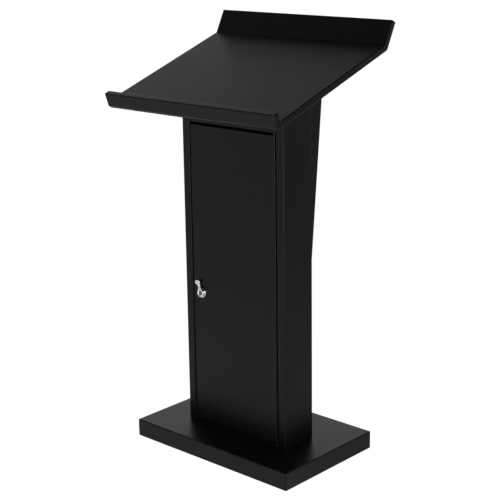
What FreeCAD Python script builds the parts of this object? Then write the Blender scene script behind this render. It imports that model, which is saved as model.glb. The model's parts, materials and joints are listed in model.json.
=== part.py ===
"""Steel presentation lectern with a lockable cabinet in its column.

Millimetres.  +Z is up, +X is to the right of a speaker who faces the door, and +Y points away from the
speaker, towards the audience.  The origin is under the middle of the whole lectern, on the floor.
"""
import FreeCAD
import Part
import math
import os

V = FreeCAD.Vector

# ---- driving dimensions -------------------------------------------------------------------------
SHEET = 1.5                 # folded sheet of the column, door and reading top
BASE_SHEET = 2.0            # folded sheet of the base
THICK_PLATE = 3.0           # mounting plate under the reading top
BEND = 2.0                  # inside radius of a bend
FLOOR_GAP = 2.0             # the base's skirt stands this far off the floor

BASE_WIDTH = 558.0
BASE_DEPTH = 362.0
BASE_TOP = 51.0             # height of the base's upper face
BASE_CENTRE_Y = -1.7
BASE_CORNER = 3.0           # outer radius of the base's edges

COLUMN_HALF = 181.0         # half width of the column
COLUMN_FRONT = -70.9
COLUMN_REAR = 42.4
STILE_INNER = 156.0         # half width of the door opening
STILE_RETURN = 19.0         # depth of the stile's return beside the door
REAR_FLANGE = 15.0

DOOR_HALF = 151.5
DOOR_BOTTOM = 54.2
DOOR_TOP = 907.0
DOOR_DEPTH = 17.0
DOOR_LIP = 11.5             # inward lip along the door's two long edges
RAIL_BOTTOM = 912.0
RAIL_FLANGE = 25.0

PIVOT_INSET = 5.0           # pivot axis from the door's right edge, and behind its front face
PIVOT_R = 2.0
PIN_HEAD_R = 2.8
PIN_HEAD_LIFT = 0.5         # keeps the head off the rail's bend
BUSH_R = 2.9
RUNNING_GAP = 0.05          # radial clearance of what turns

TOP_HALF = 300.0            # half width of the reading top
TOP_THICKNESS = 18.0
TOP_SLOPE = 19.2            # degrees, rising towards the audience
LIP_CORNER_Y = -216.2       # where the plate meets the lip
LIP_CORNER_Z = 977.8
LIP_HEIGHT = 24.0           # above the plate
PLATE_LENGTH = 434.0        # lip to screen, along the slope
SCREEN_HEIGHT = 70.5
SCREEN_FOLD = 44.0          # degrees, from the plate up to the screen
FLANGE = 16.0               # return flange under the reading top
COVER_INSET = 4.0
TOP_RIB_AT = (181.0, 247.0)  # along the plate, from the lip

BRACE_FOOT = 549.7          # height where the brace leaves the column
BRACE_REACH = 50.0          # how far it stands out at the top
BRACE_FLANGE = 30.0
BRACE_BOLT_X = 157.0
BRACE_BOLT_Z = (690.0, 800.0, 910.0)

SHELF_TOPS = {"lower_shelf": 335.0, "upper_shelf": 620.0}
SHELF_FRONT = -40.0
SHELF_HALF = 178.5
SHELF_FLANGE = 15.0

LOCK_X = -119.5
LOCK_Z = 435.5
ROSETTE_R = 14.5
ROSETTE_DEPTH = 2.6
BARREL_R = 9.5
BARREL_END = 19.5           # behind the door's front face
SPINDLE_R = 5.0
SPINDLE_END = 28.0
HUB_R = 11.8
HUB_FACE = 8.5              # in front of the door
DISH_R = 8.4                # round dish in the hub's face, where the plug lies
DISH_DEPTH = 1.4
PLUG_R = 6.0
PLUG_FACE = HUB_FACE - 0.4
PLUG_SEAT = HUB_FACE - 4.5
KEYWAY_DEPTH = 2.6
LEVER_TILT = 17.8           # degrees left of straight up
LEVER_TIP = 31.3            # axis to the middle of the thumb piece
NECK_FRONT = 7.6
NECK_REAR = 3.4
THUMB_FRONT = 10.4          # the thumb piece stands out further than the neck, for the fingers
THUMB_REAR = 4.6
CAM_LENGTH = 44.0
CAM_WIDTH = 16.0
CAM_THICKNESS = 2.5
CAM_GAP = 1.5               # between the barrel and the cam

RIB_OFFSETS = {"base_rib_front": -140.0, "base_rib_column_front": -30.0,
               "base_rib_column_rear": 22.0, "base_rib_rear": 140.0}
COLUMN_BOLT_X = 95.0
BOLT_R = 4.0
SMALL_BOLT_R = 3.0
SCREW_R = 2.5
HOLE_GAP = 0.3              # radial clearance of a bolt in a plain hole

SLOPE = math.radians(TOP_SLOPE)
SCREEN_SLOPE = math.radians(TOP_SLOPE + SCREEN_FOLD)
UNDERSIDE = -TOP_THICKNESS
COVER_BOTTOM = UNDERSIDE - SHEET
BASE_HALF = BASE_WIDTH / 2
BASE_FRONT = BASE_CENTRE_Y - BASE_DEPTH / 2
BASE_REAR = BASE_CENTRE_Y + BASE_DEPTH / 2
PIVOT_X = DOOR_HALF - PIVOT_INSET
PIVOT_Y = COLUMN_FRONT + PIVOT_INSET
FLOOR_TOP = BASE_TOP + SHEET
PANEL_REAR = COLUMN_REAR - SHEET      # rear faces of the side panels, where the rear panel lies


# ---- shape helpers ------------------------------------------------------------------------------
def box(x0, x1, y0, y1, z0, z1):
    """Block between two corners."""
    return Part.makeBox(x1 - x0, y1 - y0, z1 - z0, V(x0, y0, z0))


def rod(radius, start, end):
    """Round bar from one point to another."""
    axis = end.sub(start)
    return Part.makeCylinder(radius, axis.Length, start, axis)


def hexagon(across_flats, start, end):
    """Hexagonal bar from one point to another, as a bolt head or nut."""
    axis = end.sub(start)
    side = V(0, 0, 1).cross(axis)
    if side.Length < 1e-6:
        side = V(1, 0, 0)
    side.normalize()
    other = V(axis).normalize().cross(side)
    reach = across_flats / math.sqrt(3)
    corners = []
    for step in range(7):
        turn = math.radians(60 * step)
        corners.append(start + side * (reach * math.cos(turn)) + other * (reach * math.sin(turn)))
    return Part.Face(Part.makePolygon(corners)).extrude(axis)


def rounded_face(points, radii, place):
    """Flat face inside a closed outline whose corners are arcs of the given radii."""
    count = len(points)
    starts, middles, ends = [], [], []
    for i in range(count):
        corner = V(points[i][0], points[i][1], 0)
        back = V(points[i - 1][0], points[i - 1][1], 0).sub(corner).normalize()
        ahead = V(points[(i + 1) % count][0], points[(i + 1) % count][1], 0).sub(corner).normalize()
        half = back.getAngle(ahead) / 2
        reach = radii[i] / math.tan(half)
        starts.append(corner + back * reach)
        ends.append(corner + ahead * reach)
        middles.append(corner + (back + ahead).normalize() * (radii[i] / math.sin(half) - radii[i]))
    edges = []
    for i in range(count):
        after = (i + 1) % count
        if radii[i] > 0:
            edges.append(Part.Arc(place(starts[i]), place(middles[i]), place(ends[i])).toShape())
        edges.append(Part.LineSegment(place(ends[i]), place(starts[after])).toShape())
    return Part.Face(Part.Wire(edges))


def offset_points(points, distance, closed):
    """Points moved to the left of the path by a distance, mitred at the corners."""
    count = len(points)
    steps = []
    for i in range(count):
        step = V(points[(i + 1) % count][0] - points[i][0], points[(i + 1) % count][1] - points[i][1], 0)
        step.normalize()
        steps.append(V(-step.y, step.x, 0))
    moved = []
    for i in range(count):
        before = steps[i - 1] if closed or i > 0 else steps[0]
        after = steps[i] if closed or i < count - 1 else steps[count - 2]
        shift = (before + after) * (distance / (1 + before.dot(after)))
        moved.append((points[i][0] + shift.x, points[i][1] + shift.y))
    return moved


def folded_sheet(path, thickness, place, direction):
    """Bent sheet: the path is its outer face, and its thickness lies to the left of the path."""
    inner = offset_points(path, thickness, False)
    outer_radii = [0.0]
    inner_radii = [0.0]
    for i in range(1, len(path) - 1):
        before = V(path[i][0] - path[i - 1][0], path[i][1] - path[i - 1][1], 0)
        after = V(path[i + 1][0] - path[i][0], path[i + 1][1] - path[i][1], 0)
        turns_left = before.cross(after).z > 0
        outer_radii.append(BEND + thickness if turns_left else BEND)
        inner_radii.append(BEND if turns_left else BEND + thickness)
    outer_radii.append(0.0)
    inner_radii.append(0.0)
    outline = list(path) + inner[::-1]
    return rounded_face(outline, outer_radii + inner_radii[::-1], place).extrude(direction)


def plan(height):
    """Places an (x, y) outline at a height."""
    return lambda p: V(p.x, p.y, height)


def side(x):
    """Places a (y, z) outline at an x."""
    return lambda p: V(x, p.x, p.y)


def on_top(along, above):
    """(y, z) of a point along the plate from the lip, and above its upper face."""
    return (LIP_CORNER_Y + along * math.cos(SLOPE) - above * math.sin(SLOPE),
            LIP_CORNER_Z + along * math.sin(SLOPE) + above * math.cos(SLOPE))


def on_screen(along, behind):
    """(y, z) of a point up the screen from its crease, and behind its front face."""
    crease_y, crease_z = on_top(PLATE_LENGTH, 0)
    return (crease_y + along * math.cos(SCREEN_SLOPE) + behind * math.sin(SCREEN_SLOPE),
            crease_z + along * math.sin(SCREEN_SLOPE) - behind * math.cos(SCREEN_SLOPE))


def top_point(x, along, above):
    """Point of the reading top in space."""
    y, z = on_top(along, above)
    return V(x, y, z)


def along_at(y, above):
    """Distance along the plate of the point that lies at this y and this height above the plate."""
    return (y - LIP_CORNER_Y + above * math.sin(SLOPE)) / math.cos(SLOPE)


def height_at(y, above):
    """Height of the plane that lies this far above the plate, at this y."""
    return on_top(along_at(y, above), above)[1]


def below_top(shape, above):
    """What is left of a shape under the sloped plane."""
    reach = 800.0
    front, back = along_at(-reach, above), along_at(reach, above)
    corners = [(front, above), (back, above), (back, above + reach), (front, above + reach)]
    wedge = [on_top(*corner) for corner in corners]
    block = rounded_face(wedge, [0.0] * 4, side(-reach)).extrude(V(2 * reach, 0, 0))
    return shape.cut(block)


def mirrored(shape):
    """The same piece on the lectern's other side."""
    return shape.mirror(V(0, 0, 0), V(1, 0, 0))


def joined(shapes):
    """One solid from pieces that meet."""
    return shapes[0].multiFuse(shapes[1:]).removeSplitter()


def grouped(shapes):
    """Separate identical solids kept as one part."""
    return Part.makeCompound(shapes)


# ---- base ---------------------------------------------------------------------------------------
def base_bolt_places():
    """Bolt axes of the column, on the two ribs under it."""
    places = []
    for x in (-COLUMN_BOLT_X, COLUMN_BOLT_X):
        for rib in ("base_rib_column_front", "base_rib_column_rear"):
            places.append((x, BASE_CENTRE_Y + RIB_OFFSETS[rib]))
    return places


def cover_screw_places():
    """Screw axes of the base's bottom plate, on the outer ribs."""
    places = []
    for x in (-180.0, 0.0, 180.0):
        for rib in ("base_rib_front", "base_rib_rear"):
            places.append((x, BASE_CENTRE_Y + RIB_OFFSETS[rib]))
    return places


def foot_places():
    """Axes of the four feet, near the base's corners."""
    places = []
    for x in (-245.0, 245.0):
        for rib in ("base_rib_front", "base_rib_rear"):
            places.append((x, BASE_CENTRE_Y + RIB_OFFSETS[rib]))
    return places


def base_pan():
    """Tray turned upside down: a flat top with four skirts."""
    outer = box(-BASE_HALF, BASE_HALF, BASE_FRONT, BASE_REAR, FLOOR_GAP, BASE_TOP)
    rounded = [edge for edge in outer.Edges if edge.BoundBox.ZMax > FLOOR_GAP + 1]
    outer = outer.makeFillet(BASE_CORNER, rounded)
    t = BASE_SHEET
    inner = box(-BASE_HALF + t, BASE_HALF - t, BASE_FRONT + t, BASE_REAR - t, 0, BASE_TOP - t)
    pan = outer.cut(inner)
    for x, y in base_bolt_places():
        pan = pan.cut(rod(BOLT_R + HOLE_GAP, V(x, y, 0), V(x, y, 2 * BASE_TOP)))
    return pan.cut(rod(PIVOT_R, V(PIVOT_X, PIVOT_Y, 0), V(PIVOT_X, PIVOT_Y, 2 * BASE_TOP)))


def base_rib(offset, bolts, screws):
    """Channel under the base's top: two flanges and a web, running from side to side."""
    y = BASE_CENTRE_Y + offset
    top = BASE_TOP - BASE_SHEET
    bottom = FLOOR_GAP + 3.5
    length = BASE_WIDTH - 2 * BASE_SHEET - 8
    path = [(y + 15, bottom), (y - 15, bottom), (y - 15, top), (y + 15, top)]
    rib = folded_sheet(path[::-1], BASE_SHEET, side(-length / 2), V(length, 0, 0))
    for x, hole_y in bolts:
        rib = rib.cut(rod(BOLT_R + HOLE_GAP, V(x, hole_y, top - 5), V(x, hole_y, top + 1)))
    for x, hole_y in screws:
        rib = rib.cut(rod(SCREW_R, V(x, hole_y, bottom - 1), V(x, hole_y, bottom + 5)))
    return rib


def base_bottom_plate():
    """Flat cover inside the skirts, under the ribs."""
    gap = BASE_SHEET + 0.5
    plate = box(-BASE_HALF + gap, BASE_HALF - gap, BASE_FRONT + gap, BASE_REAR - gap,
                FLOOR_GAP + 2, FLOOR_GAP + 2 + SHEET)
    for x, y in cover_screw_places() + foot_places():
        plate = plate.cut(rod(SCREW_R + HOLE_GAP, V(x, y, 0), V(x, y, 10)))
    return plate


def base_cover_screws():
    """Low-head screws that hold the bottom plate to the outer ribs."""
    screws = []
    for x, y in cover_screw_places():
        head = rod(4.6, V(x, y, FLOOR_GAP + 0.4), V(x, y, FLOOR_GAP + 2))
        shank = rod(SCREW_R - 0.1, V(x, y, FLOOR_GAP + 2), V(x, y, FLOOR_GAP + 12))
        screws.append(joined([head, shank]))
    return grouped(screws)


def rubber_feet():
    """Round pads with a recess for their screw."""
    feet = []
    for x, y in foot_places():
        foot = rod(17.0, V(x, y, 0), V(x, y, FLOOR_GAP + 2))
        foot = foot.makeChamfer(0.8, [edge for edge in foot.Edges if edge.BoundBox.ZMax < 0.1])
        foot = foot.cut(rod(6.0, V(x, y, -1), V(x, y, 2.4)))
        feet.append(foot.cut(rod(SCREW_R + HOLE_GAP, V(x, y, 0), V(x, y, 10))))
    return grouped(feet)


def foot_screws():
    """Screws that hold the feet to the outer ribs through the bottom plate."""
    screws = []
    for x, y in foot_places():
        head = rod(4.6, V(x, y, 0.9), V(x, y, 2.4))
        shank = rod(SCREW_R - 0.1, V(x, y, 2.4), V(x, y, 15))
        screws.append(joined([head, shank]))
    return grouped(screws)


# ---- column -------------------------------------------------------------------------------------
def right_side_panel():
    """Side wall with the front stile, its return beside the door, and a rear flange."""
    path = [(STILE_INNER, COLUMN_FRONT + STILE_RETURN), (STILE_INNER, COLUMN_FRONT),
            (COLUMN_HALF, COLUMN_FRONT), (COLUMN_HALF, PANEL_REAR), (COLUMN_HALF - REAR_FLANGE, PANEL_REAR)]
    wall = folded_sheet(path, SHEET, plan(BASE_TOP), V(0, 0, 1200))
    return below_top(wall, COVER_BOTTOM)


def rear_panel():
    """Flat sheet over the rear flanges of both side panels."""
    wall = box(-COLUMN_HALF, COLUMN_HALF, PANEL_REAR, COLUMN_REAR, BASE_TOP, 1250)
    for x in (-BRACE_BOLT_X, BRACE_BOLT_X):
        for z in BRACE_BOLT_Z:
            wall = wall.cut(rod(SMALL_BOLT_R + HOLE_GAP, V(x, PANEL_REAR - 5, z), V(x, COLUMN_REAR + 5, z)))
    return below_top(wall, COVER_BOTTOM)


def top_rail():
    """Fascia above the door with a flange under it that carries the upper pivot and the stop."""
    rear = COLUMN_FRONT + RAIL_FLANGE
    path = [(COLUMN_FRONT, 1250), (COLUMN_FRONT, RAIL_BOTTOM), (rear, RAIL_BOTTOM), (rear, RAIL_BOTTOM + 12)]
    rail = folded_sheet(path, SHEET, side(-STILE_INNER), V(2 * STILE_INNER, 0, 0))
    rail = below_top(rail, COVER_BOTTOM)
    return rail.cut(rod(PIVOT_R, V(PIVOT_X, PIVOT_Y, RAIL_BOTTOM - 5), V(PIVOT_X, PIVOT_Y, RAIL_BOTTOM + 5)))


def cabinet_floor():
    """Sheet on the base's top with a low flange up the rear panel."""
    path = [(COLUMN_FRONT + 1.4, BASE_TOP), (PANEL_REAR, BASE_TOP), (PANEL_REAR, BASE_TOP + 16)]
    half = STILE_INNER - 0.5
    floor = folded_sheet(path, SHEET, side(-half), V(2 * half, 0, 0))
    for x, y in base_bolt_places():
        floor = floor.cut(rod(BOLT_R + HOLE_GAP, V(x, y, 0), V(x, y, 2 * BASE_TOP)))
    return floor.cut(rod(PIVOT_R, V(PIVOT_X, PIVOT_Y, 0), V(PIVOT_X, PIVOT_Y, 2 * BASE_TOP)))


def shelf(top):
    """Tray turned upside down, with flanges down at the front and rear."""
    rear = PANEL_REAR - SHEET - 0.5
    low = top - SHELF_FLANGE
    path = [(rear, low), (rear, top), (SHELF_FRONT, top), (SHELF_FRONT, low)]
    return folded_sheet(path, SHEET, side(-SHELF_HALF), V(2 * SHELF_HALF, 0, 0))


def shelf_clips():
    """Small angles welded to the side walls, two under each end of a shelf."""
    clips = []
    wall = COLUMN_HALF - SHEET
    for top in SHELF_TOPS.values():
        seat = top - SHEET
        for y in (-30.0, 8.0):
            path = [(wall, seat - 14), (wall, seat), (wall - 16, seat)]
            clip = folded_sheet(path, SHEET, lambda p, y=y: V(p.x, y, p.y), V(0, 20, 0))
            clips.append(clip)
            clips.append(mirrored(clip))
    return grouped(clips)


def column_bolts():
    """Hex bolts from the cabinet floor down through the base's top and its ribs."""
    bolts = []
    for x, y in base_bolt_places():
        seat = FLOOR_TOP + 1.6
        head = hexagon(13.0, V(x, y, seat), V(x, y, seat + 5.3))
        shank = rod(BOLT_R, V(x, y, seat), V(x, y, BASE_TOP - 18))
        bolts.append(joined([head, shank]))
    return grouped(bolts)


def column_washers():
    """Flat washers under the column bolts' heads."""
    washers = []
    for x, y in base_bolt_places():
        washer = rod(8.0, V(x, y, FLOOR_TOP), V(x, y, FLOOR_TOP + 1.6))
        washers.append(washer.cut(rod(BOLT_R + HOLE_GAP, V(x, y, 0), V(x, y, 100))))
    return grouped(washers)


def column_nuts():
    """Nuts under the ribs' upper flanges."""
    nuts = []
    top = BASE_TOP - 2 * BASE_SHEET
    for x, y in base_bolt_places():
        nut = hexagon(13.0, V(x, y, top), V(x, y, top - 6.5))
        nuts.append(nut.cut(rod(BOLT_R + 0.1, V(x, y, 0), V(x, y, 100))))
    return grouped(nuts)


def top_bolt_places():
    """(x, distance along the plate) of the bolts that hold the reading top."""
    return [(x, along) for x in (-COLUMN_BOLT_X, COLUMN_BOLT_X) for along in TOP_RIB_AT]


def top_mount_plate():
    """Sloped plate between the rail and the rear panel, under the reading top."""
    front, back = along_at(-600, 0), along_at(600, 0)
    low, high = COVER_BOTTOM - THICK_PLATE, COVER_BOTTOM
    slab = [on_top(front, low), on_top(back, low), on_top(back, high), on_top(front, high)]
    plate = rounded_face(slab, [0.0] * 4, side(-150)).extrude(V(300, 0, 0))
    plate = plate.common(box(-150, 150, COLUMN_FRONT + SHEET, PANEL_REAR, 0, 1500))
    for x, along in top_bolt_places():
        hole = rod(SMALL_BOLT_R + HOLE_GAP, top_point(x, along, low - 5), top_point(x, along, high + 5))
        plate = plate.cut(hole)
    return plate


# ---- reading top --------------------------------------------------------------------------------
def top_outline():
    """Corners of the reading top's section, from the bottom of the lip round to the underside."""
    rear_fold = TOP_THICKNESS * math.tan((SCREEN_SLOPE - SLOPE) / 2)
    return [on_top(-TOP_THICKNESS, UNDERSIDE),
            on_top(PLATE_LENGTH + rear_fold, UNDERSIDE),
            on_screen(SCREEN_HEIGHT, TOP_THICKNESS),
            on_screen(SCREEN_HEIGHT, 0),
            on_top(PLATE_LENGTH, 0),
            on_top(0, 0),
            on_top(0, LIP_HEIGHT),
            on_top(-TOP_THICKNESS, LIP_HEIGHT)]


def reading_top():
    """Folded shell: lip, sloped plate and raised screen, with end skirts and a return flange below."""
    outline = top_outline()
    outer_radii = [7.0, 4.0, 3.0, 3.0, 2.0, 1.5, 3.0, 3.0]
    inner_radii = [5.5, 2.5, 1.5, 1.5, 3.5, 3.0, 1.5, 1.5]
    outer = rounded_face(outline, outer_radii, side(-TOP_HALF)).extrude(V(2 * TOP_HALF, 0, 0))
    inner = rounded_face(offset_points(outline, SHEET, True), inner_radii, side(-TOP_HALF + SHEET))
    shell = outer.cut(inner.extrude(V(2 * (TOP_HALF - SHEET), 0, 0)))
    window = [on_top(FLANGE - TOP_THICKNESS, UNDERSIDE - 1), on_top(PLATE_LENGTH - 12, UNDERSIDE - 1),
              on_top(PLATE_LENGTH - 12, UNDERSIDE + 3), on_top(FLANGE - TOP_THICKNESS, UNDERSIDE + 3)]
    half = TOP_HALF - FLANGE
    return shell.cut(rounded_face(window, [0.0] * 4, side(-half)).extrude(V(2 * half, 0, 0)))


def top_rib(along):
    """Channel inside the reading top, from the plate down to the cover."""
    path = [on_top(along + 14, -SHEET), on_top(along - 14, -SHEET), on_top(along - 14, UNDERSIDE),
            on_top(along + 14, UNDERSIDE)]
    rib = folded_sheet(path, SHEET, side(-270), V(540, 0, 0))
    for x, place in top_bolt_places():
        if place == along:
            rib = rib.cut(rod(SMALL_BOLT_R + HOLE_GAP, top_point(x, along, UNDERSIDE - 2),
                              top_point(x, along, UNDERSIDE + 4)))
    return rib


def top_screw_places():
    """(x, distance along the plate) of the cover's screws, on the return flange."""
    places = [(x, along) for x in (-200.0, 0.0, 200.0) for along in (-10.0, PLATE_LENGTH - 5.0)]
    return places + [(x, along) for x in (-291.0, 291.0) for along in (90.0, 330.0)]


def top_underside_cover():
    """Flat sheet screwed over the opening under the reading top."""
    front, back = COVER_INSET - TOP_THICKNESS, PLATE_LENGTH + 4.0
    slab = [on_top(front, COVER_BOTTOM), on_top(back, COVER_BOTTOM), on_top(back, UNDERSIDE),
            on_top(front, UNDERSIDE)]
    half = TOP_HALF - COVER_INSET
    cover = rounded_face(slab, [0.0] * 4, side(-half)).extrude(V(2 * half, 0, 0))
    for x, along in top_screw_places():
        cover = cover.cut(rod(2.0 + HOLE_GAP, top_point(x, along, -40), top_point(x, along, -5)))
    for x, along in top_bolt_places():
        cover = cover.cut(rod(SMALL_BOLT_R + HOLE_GAP, top_point(x, along, -40), top_point(x, along, -5)))
    return cover


def top_cover_screws():
    """Button-head screws that hold the cover to the return flange."""
    screws = []
    for x, along in top_screw_places():
        head = rod(3.8, top_point(x, along, COVER_BOTTOM - 1.8), top_point(x, along, COVER_BOTTOM))
        lowest = min((head.Edges[0], head.Edges[2]), key=lambda edge: edge.BoundBox.ZMin)
        head = head.makeFillet(1.0, [lowest])
        shank = rod(1.9, top_point(x, along, COVER_BOTTOM), top_point(x, along, UNDERSIDE))
        screws.append(joined([head, shank]))
    return grouped(screws)


def top_bolts():
    """Hex bolts from under the mounting plate up into the reading top's ribs."""
    bolts = []
    seat = COVER_BOTTOM - THICK_PLATE
    for x, along in top_bolt_places():
        head = hexagon(10.0, top_point(x, along, seat), top_point(x, along, seat - 4))
        shank = rod(SMALL_BOLT_R, top_point(x, along, seat), top_point(x, along, -5))
        bolts.append(joined([head, shank]))
    return grouped(bolts)


def top_nuts():
    """Nuts inside the reading top's ribs."""
    nuts = []
    seat = UNDERSIDE + SHEET
    for x, along in top_bolt_places():
        nut = hexagon(10.0, top_point(x, along, seat), top_point(x, along, seat + 5))
        hole = rod(SMALL_BOLT_R + 0.1, top_point(x, along, seat - 1), top_point(x, along, seat + 6))
        nuts.append(nut.cut(hole))
    return grouped(nuts)


# ---- rear brace ---------------------------------------------------------------------------------
def brace_outline():
    """Corners of the wedge behind the column, seen from the side."""
    reach_y = COLUMN_REAR + BRACE_REACH
    return [(COLUMN_REAR, BRACE_FOOT), (reach_y, height_at(reach_y, COVER_BOTTOM)),
            (COLUMN_REAR, height_at(COLUMN_REAR, COVER_BOTTOM))]


def rear_brace():
    """Hollow wedge: a slanting rear face, two cheeks, and flanges against the rear panel and the top."""
    outline = brace_outline()
    outer = rounded_face(outline, [0.0] * 3, side(-COLUMN_HALF)).extrude(V(2 * COLUMN_HALF, 0, 0))
    inner = rounded_face(offset_points(outline, SHEET, True), [0.0] * 3, side(-COLUMN_HALF + SHEET))
    shell = outer.cut(inner.extrude(V(2 * (COLUMN_HALF - SHEET), 0, 0)))
    half = COLUMN_HALF - BRACE_FLANGE
    foot, head = outline[0][1] + 100, outline[2][1] - BRACE_FLANGE
    shell = shell.cut(box(-half, half, COLUMN_REAR - 1, COLUMN_REAR + SHEET, foot, head))
    for x in (-BRACE_BOLT_X, BRACE_BOLT_X):
        for z in BRACE_BOLT_Z:
            hole = rod(SMALL_BOLT_R + HOLE_GAP, V(x, COLUMN_REAR - 1, z), V(x, COLUMN_REAR + 3, z))
            shell = shell.cut(hole)
    return shell


def brace_bolts():
    """Hex bolts from inside the cabinet, through the rear panel into the brace's flanges."""
    bolts = []
    for x in (-BRACE_BOLT_X, BRACE_BOLT_X):
        for z in BRACE_BOLT_Z:
            head = hexagon(10.0, V(x, PANEL_REAR, z), V(x, PANEL_REAR - 4, z))
            shank = rod(SMALL_BOLT_R, V(x, PANEL_REAR, z), V(x, PANEL_REAR + 9.5, z))
            bolts.append(joined([head, shank]))
    return grouped(bolts)


def brace_nuts():
    """Nuts behind the brace's flanges."""
    nuts = []
    seat = COLUMN_REAR + SHEET
    for x in (-BRACE_BOLT_X, BRACE_BOLT_X):
        for z in BRACE_BOLT_Z:
            nut = hexagon(10.0, V(x, seat, z), V(x, seat + 5, z))
            nuts.append(nut.cut(rod(SMALL_BOLT_R + 0.1, V(x, seat - 1, z), V(x, seat + 6, z))))
    return grouped(nuts)


# ---- pivots and stops ---------------------------------------------------------------------------
def upper_pivot_pin():
    """Headed pin dropped through the rail's flange into the door."""
    seat = RAIL_BOTTOM + SHEET + PIN_HEAD_LIFT
    head = rod(PIN_HEAD_R, V(PIVOT_X, PIVOT_Y, seat), V(PIVOT_X, PIVOT_Y, seat + 2))
    shank = rod(PIVOT_R, V(PIVOT_X, PIVOT_Y, DOOR_TOP - 8), V(PIVOT_X, PIVOT_Y, seat))
    return joined([head, shank])


def lower_pivot_stud():
    """Stud riveted through the cabinet floor and the base's top, with a collar under the door."""
    low = BASE_TOP - BASE_SHEET
    shank = rod(PIVOT_R, V(PIVOT_X, PIVOT_Y, low), V(PIVOT_X, PIVOT_Y, DOOR_BOTTOM + 8))
    collar = rod(3.6, V(PIVOT_X, PIVOT_Y, FLOOR_TOP), V(PIVOT_X, PIVOT_Y, FLOOR_TOP + 0.6))
    return joined([shank, collar])


def stop_pads():
    """Rubber pads that the closed door comes to."""
    door_rear = COLUMN_FRONT + DOOR_DEPTH
    upper = box(-135, -115, door_rear + 0.4, door_rear + 2.4, DOOR_TOP - 14, DOOR_TOP)
    lower = box(-135, -115, door_rear + 0.4, door_rear + 2.4, DOOR_BOTTOM + 2, DOOR_BOTTOM + 16)
    return grouped([upper, lower])


def door_stops():
    """Small angles behind the door's free edge, under the rail and on the cabinet floor."""
    front = COLUMN_FRONT + DOOR_DEPTH + 2.4
    rear = COLUMN_FRONT + RAIL_FLANGE
    upper = [(rear, RAIL_BOTTOM), (front, RAIL_BOTTOM), (front, DOOR_TOP - 16)]
    lower = [(front, DOOR_BOTTOM + 18), (front, FLOOR_TOP), (front + 14, FLOOR_TOP)]
    angles = []
    for path in (upper, lower):
        angles.append(folded_sheet(path, SHEET, side(-137), V(24, 0, 0)))
    return grouped(angles)


# ---- door ---------------------------------------------------------------------------------------
def door_panel():
    """Folded pan: front skin, four returns, and lips along the two long edges."""
    rear = COLUMN_FRONT + DOOR_DEPTH
    lip = DOOR_HALF - DOOR_LIP
    path = [(-lip, rear), (-DOOR_HALF, rear), (-DOOR_HALF, COLUMN_FRONT), (DOOR_HALF, COLUMN_FRONT),
            (DOOR_HALF, rear), (lip, rear)]
    pan = folded_sheet(path, SHEET, plan(DOOR_BOTTOM), V(0, 0, DOOR_TOP - DOOR_BOTTOM))
    inside = DOOR_HALF - 0.5 * SHEET
    flanges = []
    for low in (DOOR_BOTTOM, DOOR_TOP - SHEET):
        flange = box(-inside, inside, COLUMN_FRONT + 0.5 * SHEET, rear - 0.5 * SHEET, low, low + SHEET)
        corners = [edge for edge in flange.Edges if edge.BoundBox.ZLength > 1]
        flanges.append(flange.makeFillet(2.0, corners))
    pan = joined([pan] + flanges)
    pan = pan.cut(rod(BUSH_R, V(PIVOT_X, PIVOT_Y, 0), V(PIVOT_X, PIVOT_Y, 1000)))
    return pan.cut(rod(BARREL_R, V(LOCK_X, COLUMN_FRONT - 5, LOCK_Z), V(LOCK_X, COLUMN_FRONT + 5, LOCK_Z)))


def door_stiffener():
    """Hat channel up the middle of the door, welded to its skin."""
    skin = COLUMN_FRONT + SHEET
    path = [(45, skin), (25, skin), (25, skin + 11), (-25, skin + 11), (-25, skin), (-45, skin)]
    return folded_sheet(path[::-1], SHEET, plan(90), V(0, 0, 780))


def door_bush(flange_low, collar_low):
    """Nylon bush in a door flange, with a collar on its outer side."""
    sleeve = rod(BUSH_R, V(PIVOT_X, PIVOT_Y, flange_low - 1), V(PIVOT_X, PIVOT_Y, flange_low + SHEET + 1))
    collar = rod(3.6, V(PIVOT_X, PIVOT_Y, collar_low), V(PIVOT_X, PIVOT_Y, collar_low + 1))
    bush = joined([sleeve, collar])
    return bush.cut(rod(PIVOT_R + RUNNING_GAP, V(PIVOT_X, PIVOT_Y, 0), V(PIVOT_X, PIVOT_Y, 1200)))


# ---- lock ---------------------------------------------------------------------------------------
def lock_point(forward):
    """Point on the lock's axis, this far in front of the door."""
    return V(LOCK_X, COLUMN_FRONT - forward, LOCK_Z)


def lock_body():
    """Rosette on the door and a barrel through it."""
    rosette = rod(ROSETTE_R, lock_point(0), lock_point(ROSETTE_DEPTH))
    rim = [edge for edge in rosette.Edges if edge.BoundBox.YMax < COLUMN_FRONT - 1]
    rosette = rosette.makeFillet(1.5, [edge for edge in rim if edge.BoundBox.XLength > ROSETTE_R])
    barrel = rod(BARREL_R, lock_point(0), lock_point(-BARREL_END))
    body = joined([rosette, barrel])
    return body.cut(rod(SPINDLE_R + RUNNING_GAP, lock_point(30), lock_point(-40)))


def lock_washer():
    """Flat washer behind the door's skin."""
    washer = rod(14.0, lock_point(-SHEET), lock_point(-SHEET - 1))
    return washer.cut(rod(BARREL_R + 0.2, lock_point(0), lock_point(-10)))


def lock_nut():
    """Large thin nut on the barrel."""
    nut = hexagon(24.0, lock_point(-SHEET - 1), lock_point(-SHEET - 5))
    return nut.cut(rod(BARREL_R + 0.1, lock_point(0), lock_point(-20)))


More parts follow.
